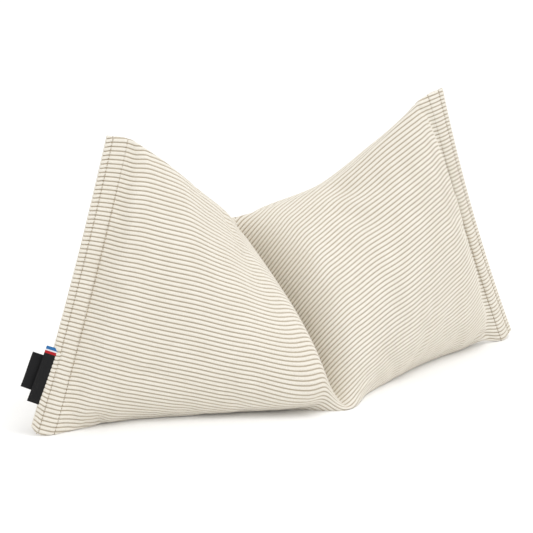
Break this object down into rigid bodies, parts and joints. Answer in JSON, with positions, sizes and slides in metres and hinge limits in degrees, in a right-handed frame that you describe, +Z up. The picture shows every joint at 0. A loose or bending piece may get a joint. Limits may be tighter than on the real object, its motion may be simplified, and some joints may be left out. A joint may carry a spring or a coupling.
{
  "type": "cervical pillow",
  "caption": "Filled corduroy neck pillow with flat stitched end hems, folded over its middle so that it stands on its lower edge with both ends raised, with small woven tabs at one hem.",
  "frame": {"origin": "on the resting plane, under the middle of the whole part's box", "axes": "+X along the pillow from the hem with the tabs to the other hem, -Y towards the side with the crease, +Z up"},
  "size_m": [0.6, 0.2178, 0.284],
  "materials": {
    "corduroy": "wide-wale cotton corduroy, cream, with short pile",
    "side_tape": "black woven tape, folded double, with a narrow blue, white and red band at its upper end",
    "care_tape": "black satin tape, bare"
  },
  "bodies": {
    "root": {"pillow": "corduroy", "side_tab": "side_tape", "care_tab": "care_tape"}
  },
  "joints": []
}
